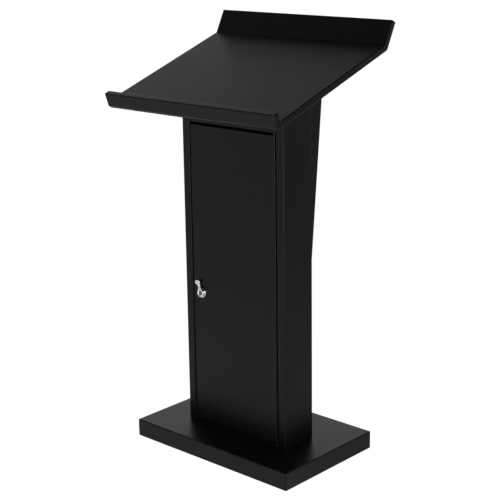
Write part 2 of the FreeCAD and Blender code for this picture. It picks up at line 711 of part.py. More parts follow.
def lever_handle():
    """Round hub with a dished face, a thumb piece above it and a spindle through the barrel."""
    hub = rod(HUB_R, lock_point(ROSETTE_DEPTH + 0.3), lock_point(HUB_FACE))
    hub = hub.makeFillet(1.2, [edge for edge in hub.Edges if edge.BoundBox.YMax < COLUMN_FRONT - HUB_FACE + 1
                               and edge.BoundBox.XLength > HUB_R])
    spindle = rod(SPINDLE_R, lock_point(HUB_FACE - 4), lock_point(-SPINDLE_END))
    lever = joined([hub, lever_arm(), spindle])
    lever = lever.cut(rod(DISH_R, lock_point(THUMB_FRONT), lock_point(HUB_FACE - DISH_DEPTH)))
    return lever.cut(rod(PLUG_R + RUNNING_GAP, lock_point(THUMB_FRONT), lock_point(PLUG_SEAT)))


def lever_arm():
    """Tapered neck and a thicker, rounded thumb piece, straight up before they are tilted to the left."""
    low, high = LEVER_TIP - 6.0, LEVER_TIP + 6.0
    neck = [(-6.5, 0.0), (6.5, 0.0), (4.0, low - 2.0), (4.0, LEVER_TIP), (-4.0, LEVER_TIP), (-4.0, low - 2.0)]
    thumb = [(-9.2, low), (9.2, low), (9.2, high), (-9.2, high)]
    arm = joined([arm_block(neck, [0.0] * 6, NECK_FRONT, NECK_REAR),
                  arm_block(thumb, [5.0] * 4, THUMB_FRONT, THUMB_REAR)])
    arm.rotate(lock_point(0), V(0, -1, 0), LEVER_TILT)
    return arm


def arm_block(outline, radii, front, rear):
    """Outline about the lock's axis, between two distances in front of the door."""
    place = lambda p: V(LOCK_X + p.x, COLUMN_FRONT - front, LOCK_Z + p.y)
    return rounded_face(outline, radii, place).extrude(V(0, front - rear, 0))


def lock_cam():
    """Flat bar on the spindle, straight up when the door is free."""
    front = COLUMN_FRONT + BARREL_END + CAM_GAP
    half = CAM_WIDTH / 2
    outline = [(-half, -half), (half, -half), (half, CAM_LENGTH), (-half, CAM_LENGTH)]
    place = lambda p: V(LOCK_X + p.x, front, LOCK_Z + p.y)
    cam = rounded_face(outline, [half - 0.5, half - 0.5, 3.0, 3.0], place).extrude(V(0, CAM_THICKNESS, 0))
    return cam.cut(rod(SPINDLE_R, lock_point(0), lock_point(-40)))


def cam_nut():
    """Nut that holds the cam on the spindle."""
    seat = BARREL_END + CAM_GAP + CAM_THICKNESS
    nut = hexagon(14.0, lock_point(-seat), lock_point(-seat - 3.5))
    return nut.cut(rod(SPINDLE_R, lock_point(0), lock_point(-40)))


def key_plug():
    """Round plug in the hub's dish, with a keyway."""
    plug = rod(PLUG_R, lock_point(PLUG_FACE), lock_point(PLUG_SEAT + 0.3))
    rim = [edge for edge in plug.Edges if edge.BoundBox.YMax < COLUMN_FRONT - PLUG_FACE + 0.1]
    plug = plug.makeFillet(0.5, rim)
    slot = box(LOCK_X - 0.8, LOCK_X + 0.8, COLUMN_FRONT - HUB_FACE, COLUMN_FRONT - PLUG_FACE + KEYWAY_DEPTH,
               LOCK_Z - 3.6, LOCK_Z + 3.6)
    return plug.cut(slot)


# ---- the whole lectern --------------------------------------------------------------------------
def build():
    """Every piece by name."""
    pieces = {"base_pan": base_pan(), "base_bottom_plate": base_bottom_plate(),
              "base_cover_screws": base_cover_screws(), "rubber_feet": rubber_feet(),
              "foot_screws": foot_screws()}
    for name, offset in RIB_OFFSETS.items():
        under_column = "column" in name
        y = BASE_CENTRE_Y + offset
        bolts = [place for place in base_bolt_places() if under_column and place[1] == y]
        screws = [place for place in cover_screw_places() + foot_places() if place[1] == y]
        pieces[name] = base_rib(offset, bolts, screws)
    pieces["right_side_panel"] = right_side_panel()
    pieces["left_side_panel"] = mirrored(pieces["right_side_panel"])
    pieces["rear_panel"] = rear_panel()
    pieces["top_rail"] = top_rail()
    pieces["cabinet_floor"] = cabinet_floor()
    for name, top in SHELF_TOPS.items():
        pieces[name] = shelf(top)
    pieces["shelf_clips"] = shelf_clips()
    pieces["column_bolts"] = column_bolts()
    pieces["column_washers"] = column_washers()
    pieces["column_nuts"] = column_nuts()
    pieces["top_mount_plate"] = top_mount_plate()
    pieces["reading_top"] = reading_top()
    pieces["top_rib_front"] = top_rib(TOP_RIB_AT[0])
    pieces["top_rib_rear"] = top_rib(TOP_RIB_AT[1])
    pieces["top_underside_cover"] = top_underside_cover()
    pieces["top_cover_screws"] = top_cover_screws()
    pieces["top_bolts"] = top_bolts()
    pieces["top_nuts"] = top_nuts()
    pieces["rear_brace"] = rear_brace()
    pieces["brace_bolts"] = brace_bolts()
    pieces["brace_nuts"] = brace_nuts()
    pieces["upper_pivot_pin"] = upper_pivot_pin()
    pieces["lower_pivot_stud"] = lower_pivot_stud()
    pieces["door_stops"] = door_stops()
    pieces["stop_pads"] = stop_pads()
    pieces["door_panel"] = door_panel()
    pieces["door_stiffener"] = door_stiffener()
    pieces["door_upper_bush"] = door_bush(DOOR_TOP - SHEET, DOOR_TOP)
    pieces["door_lower_bush"] = door_bush(DOOR_BOTTOM, DOOR_BOTTOM - 1)
    pieces["lock_body"] = lock_body()
    pieces["lock_washer"] = lock_washer()
    pieces["lock_nut"] = lock_nut()
    pieces["lever_handle"] = lever_handle()
    pieces["lock_cam"] = lock_cam()
    pieces["cam_nut"] = cam_nut()
    pieces["key_plug"] = key_plug()
    return pieces


os.makedirs("parts", exist_ok=True)
whole = []
for name, shape in build().items():
    if not shape.isValid() or shape.Volume <= 0:
        raise ValueError("bad shape: " + name)
    shape.exportStep("parts/" + name + ".step")
    whole.append(shape)
    print(name, len(shape.Solids), round(shape.Volume / 1000, 1))
print("box", Part.makeCompound(whole).BoundBox)
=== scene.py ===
"""Finishes, light and camera for a black steel lectern with a lockable cabinet in its column.

Shapes are worked out in millimetres in the lectern's own frame and put into the meshes in metres.
"""
import bmesh
import bpy
import json
import math
import numpy as np
from mathutils import Matrix, Vector


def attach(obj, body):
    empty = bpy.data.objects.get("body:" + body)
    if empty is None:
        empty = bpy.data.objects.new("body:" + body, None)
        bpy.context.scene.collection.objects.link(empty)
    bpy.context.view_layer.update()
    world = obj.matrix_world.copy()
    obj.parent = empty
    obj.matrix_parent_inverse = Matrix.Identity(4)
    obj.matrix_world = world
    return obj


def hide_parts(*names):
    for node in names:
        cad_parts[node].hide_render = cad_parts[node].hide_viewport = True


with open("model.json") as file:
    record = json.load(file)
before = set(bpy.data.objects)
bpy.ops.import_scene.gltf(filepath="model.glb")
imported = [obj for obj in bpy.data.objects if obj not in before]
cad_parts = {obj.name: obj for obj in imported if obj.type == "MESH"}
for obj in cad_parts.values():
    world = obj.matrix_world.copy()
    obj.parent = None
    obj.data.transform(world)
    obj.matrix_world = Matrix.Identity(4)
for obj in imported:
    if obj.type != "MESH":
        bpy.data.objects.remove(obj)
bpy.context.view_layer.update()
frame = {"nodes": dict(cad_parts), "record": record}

MM = 0.001
PLAN = [0, 1, 2]                    # an outline of (x, y), carried along z
SIDE = [2, 0, 1]                    # an outline of (y, z), carried along x
FRONT = [0, 2, 1]                   # an outline of (x, z), carried along y
UP, OUT = (0, 0, 1), (0, -1, 0)     # out is away from the door's face

# ---- sizes of the steelwork ---------------------------------------------------------------------
SHEET, BASE_SHEET = 1.5, 2.0
BEND = 2.0                          # inner radius of every fold
EDGE_BEVEL, CREASE = 0.25, 40       # eased edges of cut sheet, and the least angle that is one, in degrees
BASE_HALF, BASE_FRONT, BASE_REAR = 279.0, -182.7, 179.3
BASE_LOW, BASE_TOP = 2.0, 51.0
BASE_MIDDLE = (BASE_FRONT + BASE_REAR) / 2
BOTTOM_PLATE_LOW, BOTTOM_PLATE_GAP = 4.0, 2.5
FLOOR_TOP = BASE_TOP + SHEET
COLUMN_HALF, COLUMN_FRONT, COLUMN_REAR = 181.0, -70.9, 42.4
WALL_REAR = COLUMN_REAR - SHEET
STILE_INNER, STILE_RETURN, REAR_FLANGE = 156.0, 19.0, 15.0
SHELF_TOPS, SHELF_HALF, SHELF_FRONT, SHELF_DEEP = (335.0, 620.0), 178.5, -40.0, 15.0
CLIP_FRONTS, CLIP_LONG, CLIP_HIGH, CLIP_WIDE = (-30.0, 8.0), 20.0, 14.0, 16.0
DOOR_HALF, DOOR_LOW, DOOR_HIGH, DOOR_DEPTH, DOOR_LIP = 151.5, 54.2, 907.0, 17.0, 11.5
DOOR_REAR = COLUMN_FRONT + DOOR_DEPTH
RAIL_LOW, RAIL_FLANGE, RAIL_LIP = 912.0, 25.0, 12.0
ABOVE_TOP = 1100.0                  # where the rail's sheet starts before the slope cuts it
PIVOT = (146.5, -65.9)
LOCK = (-119.5, COLUMN_FRONT, 435.5)
TOP_HALF, TOP_THICK, LIP_HIGH, TOP_LONG = 300.0, 18.0, 24.0, 434.0
SCREEN_HIGH = 70.5
LIP_CORNER = np.array([-216.2, 977.8])
SLOPE, SCREEN_SLOPE = math.radians(19.2), math.radians(63.2)
UNDER_COVER, COVER_INSET = -TOP_THICK - SHEET, 4.0
BRACE_FOOT, BRACE_REACH = 549.7, 50.0


# ---- outlines -----------------------------------------------------------------------------------
def unit(vectors):
    """Vectors divided by their own length."""
    return vectors / np.linalg.norm(vectors, axis=-1, keepdims=True)


def offset(corners, distance, closed=True):
    """Corners moved to the left of their line: each goes along the sum of its two sides' normals,
    by the distance over one plus the cosine of the turn, so that both sides move by the distance."""
    line = np.asarray(corners, float)
    ahead = unit(np.roll(line, -1, 0) - line)
    if not closed:
        ahead[-1] = ahead[-2]
    after = np.column_stack([-ahead[:, 1], ahead[:, 0]])
    before = np.roll(after, 1, 0)
    if not closed:
        before[0] = after[0]
    return line + (after + before) * distance / (1 + (after * before).sum(1, keepdims=True))


def turns(corners):
    """Which way a closed outline turns at each corner: above zero to the left."""
    ahead = np.roll(corners, -1, 0) - corners
    behind = corners - np.roll(corners, 1, 0)
    return behind[:, 0] * ahead[:, 1] - behind[:, 1] * ahead[:, 0]


def rounded(corners, radii, steps=6):
    """Closed outline with an arc at each corner. The arc's centre is on the corner's bisector, at the
    radius over the sine of half the corner's angle. Its radius vector turns evenly from the one that
    meets the side before to the one that meets the side after."""
    line = np.asarray(corners, float)
    radius = np.broadcast_to(np.asarray(radii, float), len(line))[:, None]
    back, ahead = unit(np.roll(line, 1, 0) - line), unit(np.roll(line, -1, 0) - line)
    half = np.arccos(np.clip((back * ahead).sum(1, keepdims=True), -1, 1)) / 2
    centre = line + unit(back + ahead) * radius / np.sin(half)
    first = (line + back * radius / np.tan(half) - centre)[:, None]
    last = (line + ahead * radius / np.tan(half) - centre)[:, None]
    share = np.linspace(0, 1, steps + 1)[None, :, None]
    sweep = (math.pi - 2 * half)[:, None]
    arc = (np.sin((1 - share) * sweep) * first + np.sin(share * sweep) * last) / np.sin(sweep)
    return (centre[:, None] + arc).reshape(-1, 2)


def rectangle(low_a, high_a, low_b, high_b):
    """Corners of a rectangle, anticlockwise."""
    return np.array([(low_a, low_b), (high_a, low_b), (high_a, high_b), (low_a, high_b)], float)


def ease(radius, count=5):
    """Stations (inset, distance from the end) of a quarter round, from the end face to the side."""
    turn = np.linspace(0, math.pi / 2, count)
    return np.column_stack([radius * (1 - np.sin(turn)), radius * (1 - np.cos(turn))])


def arc(radius, distance, size, first, last, count):
    """Points (radius, distance) of a turned profile's arc: its centre plus its size by the sine and
    the cosine of an angle in degrees, which is 0 at the front and 90 at the rim."""
    return [(radius + size * math.sin(angle), distance + size * math.cos(angle))
            for angle in np.radians(np.linspace(first, last, count))]


# ---- surfaces: an array of points and a list of faces -------------------------------------------
def lofted(rings, caps="plain"):
    """Surface through rings with as many points each: point (i, j) is ring i's point j. Both ends are
    closed by one face, or by rungs across a folded sheet, or the last ring joins the first."""
    grid = np.array(rings, float)
    count, around = grid.shape[:2]
    index = np.arange(count * around).reshape(count, around)
    after = index if caps != "ring" else np.vstack([index, index[:1]])
    nearby = np.roll(after, -1, 1)
    faces = np.stack([after[:-1], nearby[:-1], nearby[1:], after[1:]], -1).reshape(-1, 4).tolist()
    if caps == "plain":
        faces += [index[0, ::-1].tolist(), index[-1].tolist()]
    if caps == "rungs":
        half = around // 2
        one, other = np.arange(half - 1), around - 1 - np.arange(half - 1)
        rungs = np.stack([one, one + 1, other - 1, other], -1)
        faces += rungs[:, ::-1].tolist() + (rungs + index[-1, 0]).tolist()
    return grid.reshape(-1, 3), faces


def swept(outline, low, high, order, caps="plain"):
    """Outline carried straight between two ends, each a number or worked out from the outline."""
    ends = [end(outline) if callable(end) else end for end in (low, high)]
    rings = [np.column_stack([outline, np.broadcast_to(end, len(outline))])[:, order] for end in ends]
    return lofted(rings, caps)


def sheet(path, low, high, order, trim=None):
    """Folded sheet whose outer face follows a path, with its thickness to the left. A bend to the left
    has the bend radius inside and the radius plus the thickness outside, and the other way about."""
    line = np.asarray(path, float)
    inner = offset(line, SHEET, closed=False)
    left = turns(line)[1:-1] > 0
    outside, inside = np.where(left, BEND + SHEET, BEND), np.where(left, BEND, BEND + SHEET)
    radii = np.concatenate([[0], outside, [0, 0], inside[::-1], [0]])
    outline = rounded(np.vstack([line, inner[::-1]]), radii)
    if trim:
        outline = trim(outline)
    return swept(outline, low, high, order, "rungs")


def stacked(corners, radii, stations, order):
    """Solid whose section at each station (inset, position) is the outline moved in by the inset. A
    corner that turns left loses the inset from its radius, and one that turns right gains it."""
    corners, radii = np.asarray(corners, float), np.asarray(radii, float)
    least_radius = 0.05
    left = turns(corners) > 0
    rings = []
    for inset, position in stations:
        radius = np.where(left, np.maximum(radii - inset, least_radius), radii + inset)
        ring = rounded(offset(corners, inset), radius)
        rings.append(np.column_stack([ring, np.full(len(ring), position)])[:, order])
    return lofted(rings)


def block(corners, radii, low, high, order, ease_low, ease_high):
    """Outline carried between two ends whose edges are eased by quarter rounds."""
    first = [(inset, low + depth) for inset, depth in ease(ease_low)]
    last = [(inset, high - depth) for inset, depth in ease(ease_high)[::-1]]
    return stacked(corners, radii, first + last, order)


def axes_about(axis):
    """An axis as a unit vector, and two more that are square to it and to each other."""
    along = unit(np.asarray(axis, float))
    across = np.cross(along, UP) if abs(along[2]) < 0.9 else np.array([1.0, 0, 0])
    across = unit(across - along * (across @ along))
    return along, across, np.cross(along, across)


def turned(profile, start, axis, sides=48, flats=None, closed=False):
    """Profile of (radius, distance) turned about an axis. With flats, the radius at each angle is no
    more than a hexagon's: half the width over flats by the cosine of the angle from the flat's middle."""
    profile = np.asarray(profile, float)
    along, across, up = axes_about(axis)
    angle = np.linspace(0, 2 * math.pi, sides, endpoint=False)
    radius = np.repeat(profile[:, :1], sides, 1)
    if flats:
        off_middle = (angle + math.pi / 6) % (math.pi / 3) - math.pi / 6
        radius = np.minimum(radius, flats / 2 / np.cos(off_middle))
    spoke = np.cos(angle)[:, None] * across + np.sin(angle)[:, None] * up
    grid = np.asarray(start, float) + radius[:, :, None] * spoke + profile[:, 1][:, None, None] * along
    return lofted(grid, "ring" if closed else "plain")


# ---- profiles of fasteners, as (radius, distance) -----------------------------------------------
def hex_head(flats, height, bore=0.0, both=False):
    """Hexagon head or nut with its corners turned down by 30 degrees at the far end, or at both."""
    reach, crown = flats / math.sqrt(3), flats / 2 * 0.95
    drop = (reach - crown) * math.tan(math.radians(30))
    slope = [(crown + (reach - crown) * share, height - drop * share) for share in (0, 0.25, 0.5, 0.75, 1)]
    foot = [(radius, height - level) for radius, level in slope[::-1]] if both else [(reach, 0)]
    return [(bore, height)] + slope + foot + [(bore, 0)]


def hex_bolt(flats, height, shank, length):
    """Hexagon bolt: its head, its shank, and a chamfer at the shank's end."""
    head = hex_head(flats, height)[:-1]
    return head + [(shank, 0), (shank, 0.5 - length), (shank - 0.4, -length), (0, -length)]


def flat_washer(bore, radius, low, high):
    """Washer whose outer edges are chamfered."""
    chamfer = 0.2
    return [(bore, low), (radius - chamfer, low), (radius, low + chamfer), (radius, high - chamfer),
            (radius - chamfer, high), (bore, high)]


def raised(profile, distance):
    """The same profile further along its axis."""
    return [(radius, along + distance) for radius, along in profile]


# ---- places on the sloping top ------------------------------------------------------------------
def on_top(along, above):
    """(y, z) of a point along the plate from the lip, and above the plate's face."""
    return (LIP_CORNER[0] + along * math.cos(SLOPE) - above * math.sin(SLOPE),
            LIP_CORNER[1] + along * math.sin(SLOPE) + above * math.cos(SLOPE))


def on_screen(along, behind):
    """(y, z) of a point up the screen from its crease, and behind its face."""
    y, z = on_top(TOP_LONG, 0)
    return (y + along * math.cos(SCREEN_SLOPE) + behind * math.sin(SCREEN_SLOPE),
            z + along * math.sin(SCREEN_SLOPE) - behind * math.cos(SCREEN_SLOPE))


def under_top(y):
    """Height at y of the underside of the reading top's cover."""
    return LIP_CORNER[1] + UNDER_COVER / math.cos(SLOPE) + (y - LIP_CORNER[0]) * math.tan(SLOPE)


def to_the_slope(outline):
    """Upper end of a wall with an outline of (x, y): the underside of the cover above each point."""
    return under_top(outline[:, 1])


def below_top(outline):
    """(y, z) outline cut off under the sloping top."""
    return np.column_stack([outline[:, 0], np.minimum(outline[:, 1], under_top(outline[:, 0]))])


# ---- finishes -----------------------------------------------------------------------------------
class Value:
    """Output of a shader node. Arithmetic on it adds Math nodes."""

    def __init__(self, paint, socket):
        self.paint = paint
        self.socket = socket

    def math(self, operation, first, second=0.0):
        """A Math node on two numbers or outputs."""
        return self.paint.node("ShaderNodeMath", {"operation": operation}, {0: first, 1: second})

    def __add__(self, other):
        return self.math("ADD", self, other)

    def __sub__(self, other):
        return self.math("SUBTRACT", self, other)

    def __rsub__(self, other):
        return self.math("SUBTRACT", other, self)

    def __mul__(self, other):
        return self.math("MULTIPLY", self, other)

    def __truediv__(self, other):
        return self.math("DIVIDE", self, other)

    __radd__ = __add__
    __rmul__ = __mul__

    def size(self):
        """The number without its sign."""
        return self.math("ABSOLUTE", self)

    def wave(self):
        """Its sine."""
        return self.math("SINE", self)

    def most(self, other):
        """The number, but no more than another."""
        return self.math("MINIMUM", self, other)

    def least(self, other):
        """The number, but no less than another."""
        return self.math("MAXIMUM", self, other)

    def ramp(self, start, reach):
        """0 up to a start, and from there evenly to 1 over a reach."""
        return ((self - start) / reach).least(0.0).most(1.0)


class Paint:
    """Material or world whose nodes are added one by one. A material's patterns lie in the lectern's own
    coordinates, and a world's in directions."""

    def __init__(self, name, world=None):
        if world is None:
            self.material = bpy.data.materials.new(name)
            self.material.use_nodes = True
            self.shader = self.material.node_tree.nodes["Principled BSDF"]
        self.tree = (world or self.material).node_tree
        self.place = self.node("ShaderNodeTexCoord", output="Generated" if world else "Object")

    def give(self, socket, value):
        """Links an output to a socket, or sets the socket's own number or colour."""
        if isinstance(value, Value):
            self.tree.links.new(value.socket, socket)
        else:
            socket.default_value = value

    def node(self, kind, settings=None, inputs=None, output=0):
        """Adds a node: its settings come first, then the numbers or links of its sockets."""
        made = self.tree.nodes.new(kind)
        for name, setting in (settings or {}).items():
            if name == "stops":
                for _ in setting[2:]:
                    made.color_ramp.elements.new(0.5)
                for stop, (at, colour) in zip(made.color_ramp.elements, setting):
                    stop.position, stop.color = at, colour
            else:
                setattr(made, name, setting)
        for name, value in (inputs or {}).items():
            self.give(made.inputs[name], value)
        return Value(self, made.outputs[output])

    def set(self, **sockets):
        """Gives the shader its numbers and links, with _ for each space in a socket's name."""
        for name, value in sockets.items():
            self.give(self.shader.inputs[name.replace("_", " ")], value)
        return self.material

    def vector(self, operation, first, second=(0.0, 0.0, 0.0), output="Value"):
        """A Vector Math node on two vectors or outputs."""
        return self.node("ShaderNodeVectorMath", {"operation": operation}, {0: first, 1: second}, output)

    def along(self, way):
        """How far each place lies along a direction."""
        return self.vector("DOT_PRODUCT", self.place, way)

    def noise(self, size, detail=2.0, rough=0.5, place=None):
        """Cloudy pattern from 0 to 1 whose features are this many millimetres across."""
        inputs = {"Vector": place or self.place, "Scale": 1.0 / (size * MM)}
        return self.node("ShaderNodeTexNoise", {}, inputs | {"Detail": detail, "Roughness": rough})

    def cells(self, size):
        """Distance to the nearest of scattered points this many millimetres apart."""
        inputs = {"Vector": self.place, "Scale": 1.0 / (size * MM)}
        return self.node("ShaderNodeTexVoronoi", {"feature": "F1"}, inputs)

    def stretched(self, scale, turn):
        """Coordinates stretched along each axis and turned."""
        inputs = {"Vector": self.place, "Scale": scale, "Rotation": turn}
        return self.node("ShaderNodeMapping", {"vector_type": "TEXTURE"}, inputs)

    def blend(self, share, first, second):
        """Colour between two colours."""
        return self.node("ShaderNodeMix", {"data_type": "RGBA"}, {0: share, 6: first, 7: second}, output=2)

    def bump(self, height, depth, strength=1.0, under=None):
        """Normal of a relief this many millimetres deep, over another relief if there is one."""
        inputs = {"Height": height, "Distance": depth * MM, "Strength": strength}
        if under:
            inputs["Normal"] = under
        return self.node("ShaderNodeBump", {}, inputs, output="Normal")


def grey(level, warm=0.0):
    """Near-neutral colour, a little warm or cool."""
    return (level * (1 + warm), level, level * (1 - warm), 1.0)


def satin_powder_coat():
    """Satin black powder coat: a fine orange peel over a slow ripple, with a sheen that varies a little."""
    paint = Paint("satin_black_powder_coat")
    peel, ripple = paint.noise(1.6, 2.0, 0.55), paint.noise(9.0, 1.0)
    cloud, fleck = paint.noise(70.0, 3.0), paint.noise(0.5, 1.0).ramp(0.6, 0.2)
    colour = paint.blend(cloud * 0.7 + fleck * 0.3, grey(0.0030), grey(0.0042, -0.02))
    relief = paint.bump(peel, 0.012, 0.5, under=paint.bump(ripple, 0.05, 0.25))
    return paint.set(Base_Color=colour, Roughness=cloud * 0.05 + peel * 0.03 + 0.33, Normal=relief,
                     Specular_IOR_Level=0.175)


def bright_chrome():
    """Polished chrome plate with hair-fine scratches and a breath of haze."""
    paint = Paint("bright_chrome")
    hair = paint.noise(0.4, 3.0, 0.6, paint.stretched(scale=(1.0, 1.0, 14.0), turn=(0.0, 0.6, 0.3)))
    haze = paint.noise(5.0, 2.0)
    return paint.set(Base_Color=paint.blend(haze, grey(0.80, -0.01), grey(0.88)), Metallic=1.0,
                     Roughness=haze * 0.05 + hair * 0.05 + 0.05, Normal=paint.bump(hair, 0.004, 0.4))


def turned_nickel():
    """Dark nickel, a little warmer than chrome, turned to fine rings about the middle of the lock: a sine
    of the distance from it, whose angle over a metre puts the rings 0.24 mm apart."""
    paint = Paint("turned_nickel")
    angle_per_metre = 26000.0
    away = paint.vector("DISTANCE", paint.place, tuple(MM * value for value in LOCK))
    rings = (away * angle_per_metre).wave() * 0.5 + 0.5
    haze = paint.noise(2.5, 2.0)
    colour = paint.blend(haze * 0.6 + rings * 0.4, grey(0.17, 0.03), grey(0.25, 0.02))
    return paint.set(Base_Color=colour, Metallic=1.0, Roughness=haze * 0.08 + rings * 0.06 + 0.14,
                     Normal=paint.bump(rings, 0.004, 0.35))


def zinc_plate():
    """Zinc plate with a bluish passivation: patches of grain, clouded and a little matt."""
    paint = Paint("zinc_plate")
    grain, cloud = paint.cells(1.8), paint.noise(6.0, 3.0)
    colour = paint.blend(cloud * 0.6 + grain * 0.4, grey(0.46, -0.04), grey(0.68, 0.03))
    return paint.set(Base_Color=colour, Metallic=1.0, Roughness=cloud * 0.14 + grain * 0.08 + 0.24,
                     Normal=paint.bump(paint.noise(0.5), 0.01, 0.3))


def black_oxide():
    """Blackened screw steel with a slight oily sheen."""
    paint = Paint("black_oxide")
    cloud, pit = paint.noise(3.0, 3.0), paint.noise(0.3)
    return paint.set(Base_Color=paint.blend(cloud, grey(0.012), grey(0.028, 0.04)), Metallic=0.85,
                     Roughness=cloud * 0.16 + 0.30, Normal=paint.bump(pit, 0.01, 0.4))


def moulded_rubber():
    """Matt black rubber with a fine moulded grain and paler scuffed patches."""
    paint = Paint("moulded_rubber")
    grain, worn = paint.noise(0.35, 3.0, 0.6), paint.noise(11.0, 4.0, 0.6).ramp(0.5, 0.25)
    return paint.set(Base_Color=paint.blend(worn, grey(0.011), grey(0.026, 0.03)), Specular_IOR_Level=0.35,
                     Roughness=worn * 0.1 + grain * 0.08 + 0.68, Normal=paint.bump(grain, 0.05, 0.6))


def moulded_nylon():
    """Black nylon, faintly mottled, with the soft sheen of a moulding."""
    paint = Paint("moulded_nylon")
    cloud, grain = paint.noise(2.5, 3.0), paint.noise(0.25)
    return paint.set(Base_Color=paint.blend(cloud, grey(0.030), grey(0.060, 0.03)),
                     Roughness=cloud * 0.1 + 0.42, Normal=paint.bump(grain, 0.02, 0.4))


FINISHES = {"powder_coat": satin_powder_coat(), "lock_chrome": bright_chrome(), "plug_nickel": turned_nickel(),
            "zinc_steel": zinc_plate(), "black_screw": black_oxide(), "rubber": moulded_rubber(),
            "nylon": moulded_nylon()}


# ---- putting a surface into the scene -----------------------------------------------------------
def piece(name, surfaces, slot, body="stand", edge=0.0, node=None):
    """Puts surfaces into one mesh: same points are merged, faces turned outwards, sharp edges eased by
    a small bevel, and the normals weighted by face size so that flat sheet stays flat up to its bends.
    A piece is named after the node that it stands for and how it is made, unless the node is given."""
    points, faces, first = [], [], 0
    for part_points, part_faces in surfaces:
        points.append(part_points)
        faces += [[first + corner for corner in face] for face in part_faces]
        first += len(part_points)
    mesh = bpy.data.meshes.new(name)
    mesh.from_pydata(np.vstack(points) * MM, [], faces)
    shape = bmesh.new()
    shape.from_mesh(mesh)
    bmesh.ops.remove_doubles(shape, verts=shape.verts, dist=2e-6)
    bmesh.ops.dissolve_degenerate(shape, edges=shape.edges, dist=2e-7)
    bmesh.ops.recalc_face_normals(shape, faces=shape.faces)
    shape.to_mesh(mesh)
    shape.free()
    mesh.shade_smooth()
    mesh.materials.append(FINISHES[slot])
    made = bpy.data.objects.new(name, mesh)
    bpy.context.scene.collection.objects.link(made)
    if edge:
        bevel = made.modifiers.new("eased_edges", "BEVEL")
        bevel.width, bevel.segments = edge * MM, 2
        bevel.limit_method, bevel.angle_limit = "ANGLE", math.radians(CREASE)
    else:
        mesh.set_sharp_from_angle(angle=math.radians(CREASE))
    weighted = made.modifiers.new("flat_sheet", "WEIGHTED_NORMAL")
    weighted.keep_sharp = True
    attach(made, body)
    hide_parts(node or name.rsplit("_", 1)[0])


def steelwork(name, surfaces, body="stand", edge=EDGE_BEVEL):
    """Piece of powder-coated sheet."""
    piece(name, surfaces, "powder_coat", body, edge)


def mirrored(surface):
    """The same surface on the other side of the lectern."""
    points, faces = surface
    return points * (-1, 1, 1), faces


# ---- base ---------------------------------------------------------------------------------------
def base_pan():
    """Tray upside down: from the skirts' outer face over a rounded edge to the top, and inside from the
    skirts' inner face to the underside of the top."""
    outer_round, inner_round, lip_ease = 3.0, 1.0, 0.4
    outer = [(inset, BASE_TOP - depth) for inset, depth in ease(outer_round, 7)]
    inner = [(BASE_SHEET + inset, BASE_TOP - BASE_SHEET - depth) for inset, depth in ease(inner_round, 3)[::-1]]
    lip = [(0, BASE_LOW + lip_ease), (lip_ease, BASE_LOW), (BASE_SHEET - lip_ease, BASE_LOW),
           (BASE_SHEET, BASE_LOW + lip_ease)]
    corners = rectangle(-BASE_HALF, BASE_HALF, BASE_FRONT, BASE_REAR)
    return stacked(corners, outer_round, outer + lip + inner, PLAN)


def bottom_plate():
    """Flat plate inside the skirts."""
    gap, corner, edge = BOTTOM_PLATE_GAP, 1.0, 0.2
    corners = rectangle(gap - BASE_HALF, BASE_HALF - gap, BASE_FRONT + gap, BASE_REAR - gap)
    return block(corners, corner, BOTTOM_PLATE_LOW, BOTTOM_PLATE_LOW + SHEET, PLAN, edge, edge)


def foot(place):
    """Rubber pad: three tread rings underneath with a groove after each of the first two, a recess in
    the middle for the screw, and a chamfered rim."""
    bore, recess, recess_deep, radius, high, low_chamfer, high_chamfer = 2.8, 6.0, 2.4, 17.0, 4.0, 0.8, 0.4
    groove = ((0.0, 0.0), (0.3, 0.6), (1.1, 0.6), (1.4, 0.0))
    profile = [(bore, recess_deep), (recess, recess_deep), (recess, 0)]
    profile += [(start + across, deep) for start in (8.4, 12.2) for across, deep in groove]
    profile += [(radius - low_chamfer, 0), (radius, low_chamfer), (radius, high - high_chamfer),
                (radius - high_chamfer, high), (bore, high)]
    return turned(profile, place + (0,), UP, closed=True)


def screw_under(place, head_low, head_high, end):
    """Low round head with a socket, seen from below: into the socket, down the head's side, and up the
    shank."""
    radius, shank, chamfer, socket_deep = 4.6, 2.4, 0.5, 0.9
    socket = radius * 0.45
    profile = [(0, head_low + socket_deep), (socket, head_low + socket_deep), (socket, head_low),
               (radius - chamfer, head_low), (radius, head_low + chamfer), (radius, head_high),
               (shank, head_high), (shank, end), (0, end)]
    return turned(profile, place + (0,), UP, 24)


outer_ribs = (BASE_MIDDLE - 140.0, BASE_MIDDLE + 140.0)
feet = [(x, y) for x in (-245.0, 245.0) for y in outer_ribs]
cover_screws = [(x, y) for x in (-180.0, 0.0, 180.0) for y in outer_ribs]

steelwork("base_pan_sheet", [base_pan()], edge=0)
steelwork("base_bottom_plate_sheet", [bottom_plate()], edge=0)
piece("feet_moulded", [foot(place) for place in feet], "rubber", node="rubber_feet")
piece("base_cover_screws_socket", [screw_under(place, 2.4, 4.0, 14.0) for place in cover_screws], "zinc_steel")
piece("foot_screws_socket", [screw_under(place, 0.9, 2.4, 15.0) for place in feet], "zinc_steel")


# ---- column -------------------------------------------------------------------------------------
def side_wall():
    """Right side wall with its stile and return at the front and its flange at the rear."""
    path = [(STILE_INNER, COLUMN_FRONT + STILE_RETURN), (STILE_INNER, COLUMN_FRONT), (COLUMN_HALF, COLUMN_FRONT),
            (COLUMN_HALF, WALL_REAR), (COLUMN_HALF - REAR_FLANGE, WALL_REAR)]
    return sheet(path, BASE_TOP, to_the_slope, PLAN)


